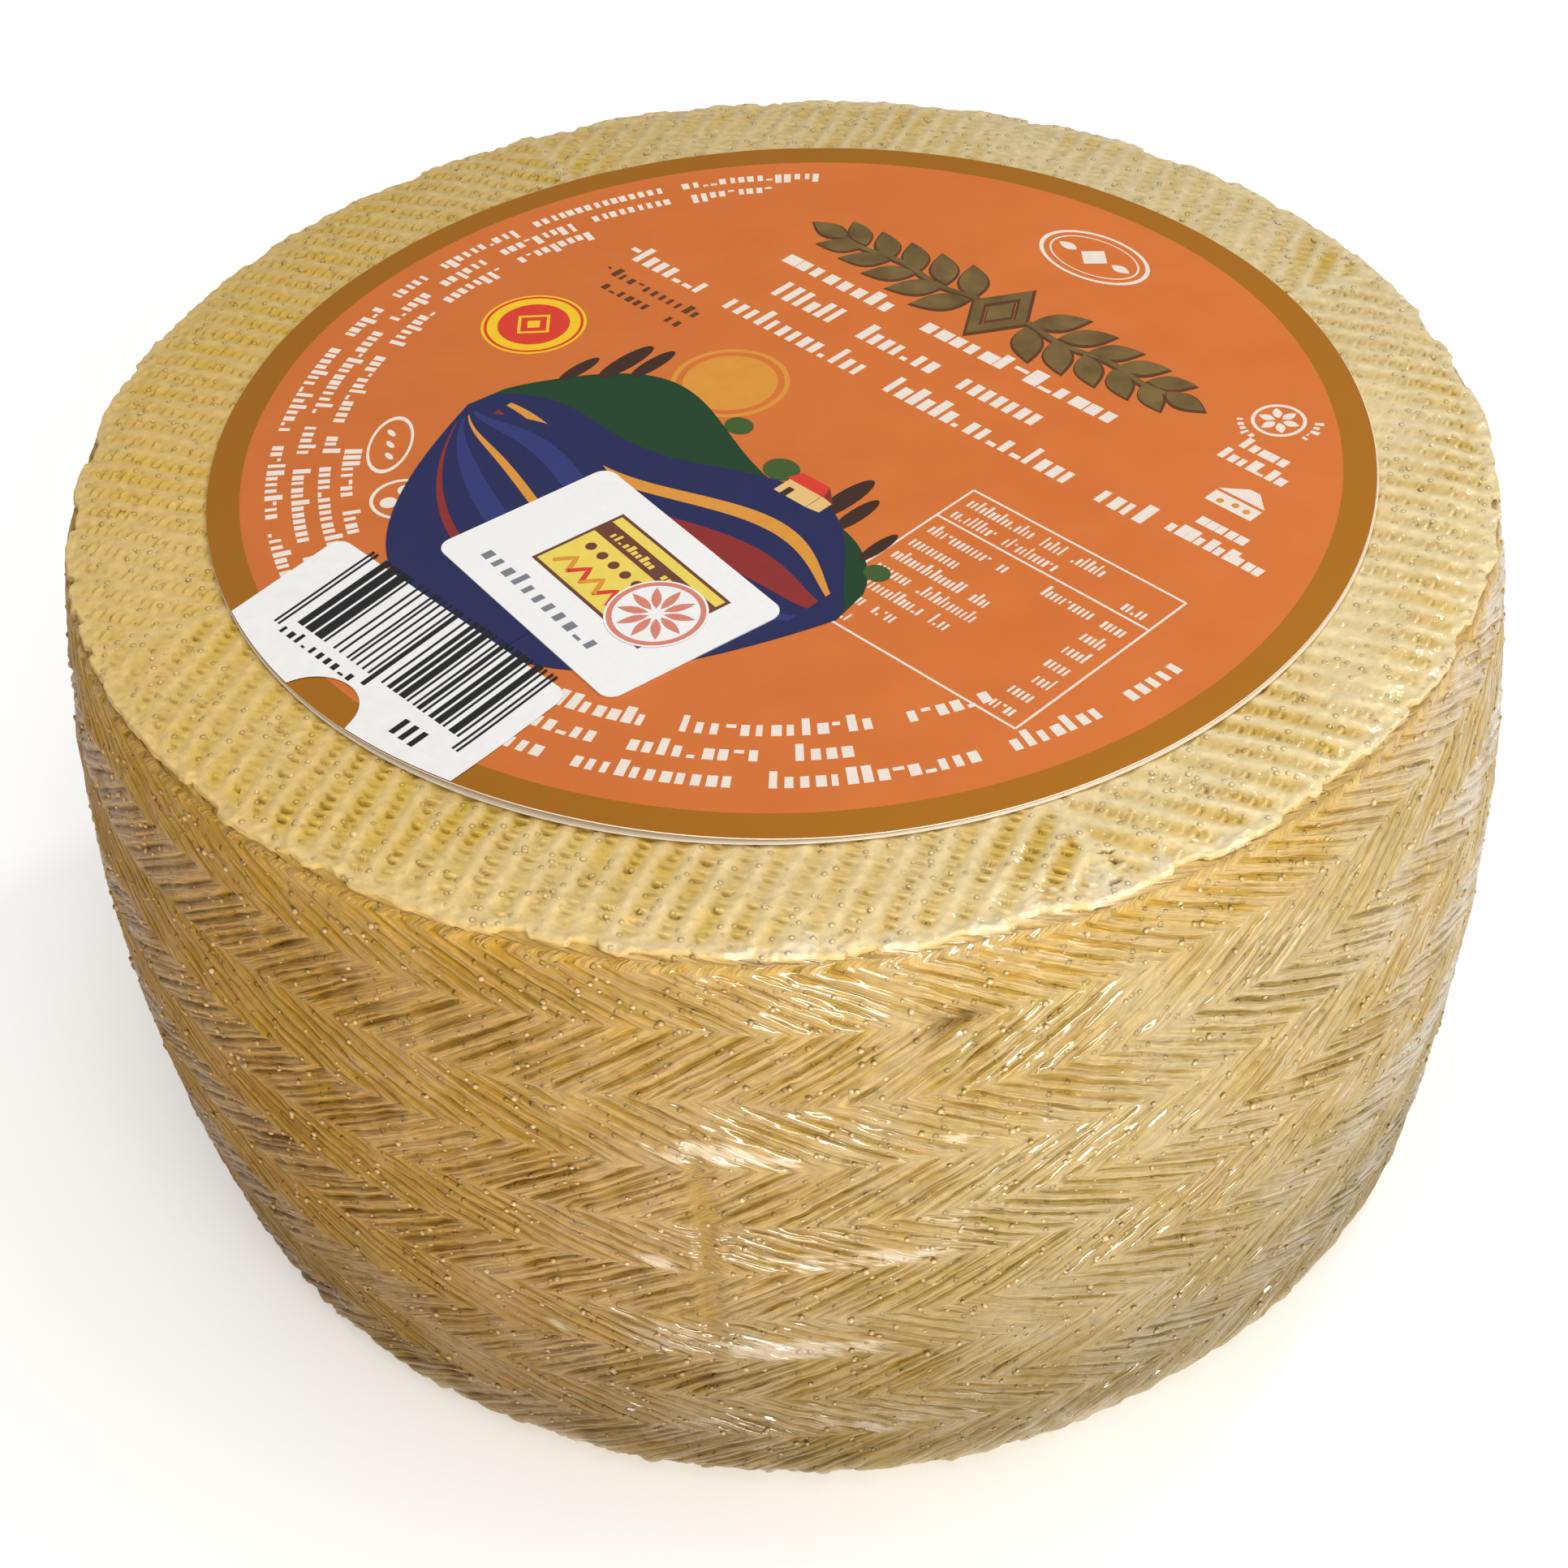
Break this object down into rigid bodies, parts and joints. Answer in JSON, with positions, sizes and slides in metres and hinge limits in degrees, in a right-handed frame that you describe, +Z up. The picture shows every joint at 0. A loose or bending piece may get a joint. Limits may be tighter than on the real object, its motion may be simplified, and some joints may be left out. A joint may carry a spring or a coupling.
{
  "type": "manchego cheese wheel",
  "caption": "Whole pressed cheese wheel with a plaited herringbone rind, grooved faces, a round two-ply paper label and a small paper sticker on top.",
  "frame": {"origin": "middle of the lower face, on the surface the wheel stands on", "axes": "+Z up along the wheel's axis, -Y towards the front, the side that the picture shows"},
  "size_m": [0.1935, 0.1908, 0.1031],
  "materials": {
    "rind": "satin",
    "backing_paper": "matte",
    "label_paper": "satin",
    "sticker_paper": "matte"
  },
  "bodies": {
    "root": {"cheese_wheel": "rind", "label_backing": "backing_paper", "round_label": "label_paper", "paper_sticker": "sticker_paper"}
  },
  "joints": []
}
